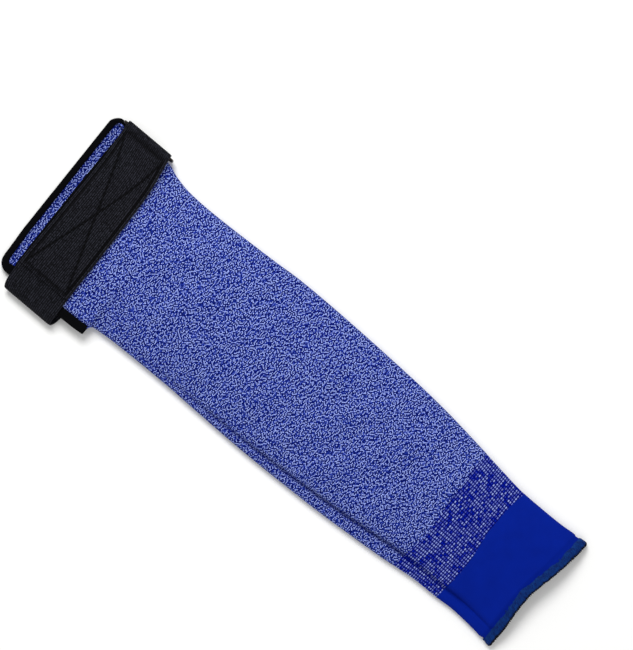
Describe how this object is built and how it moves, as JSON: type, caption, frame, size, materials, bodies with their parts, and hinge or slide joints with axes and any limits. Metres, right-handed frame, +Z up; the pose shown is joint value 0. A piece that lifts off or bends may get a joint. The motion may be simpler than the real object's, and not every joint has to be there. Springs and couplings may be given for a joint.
{
  "type": "cut resistant sleeve",
  "caption": "Long knitted tube for the forearm, lying flat, with a ribbed band and plain cuff at the wrist and a bound slit closed by a webbing strap through a ring.",
  "frame": {"origin": "middle of the sleeve's footprint, on the surface that it lies on", "axes": "+X along the sleeve from the upper opening to the wrist cuff, +Y towards the side that carries the ring, +Z up off the surface"},
  "size_m": [0.4682, 0.1534, 0.0227],
  "materials": {
    "knit": "melange blue knit",
    "rib_knit": "dark blue rib knit",
    "cuff_knit": "fine royal blue knit",
    "hem_thread": "dark navy overlock thread",
    "tape": "black ribbed tape",
    "webbing": "black woven webbing",
    "ring_metal": "dark nickel"
  },
  "bodies": {
    "root": {"sleeve_body": "knit", "rib_band": "rib_knit", "wrist_cuff": "cuff_knit", "cuff_hem": "hem_thread", "opening_binding": "tape", "strap": "webbing", "ring": "ring_metal", "ring_tab": "webbing"}
  },
  "joints": []
}
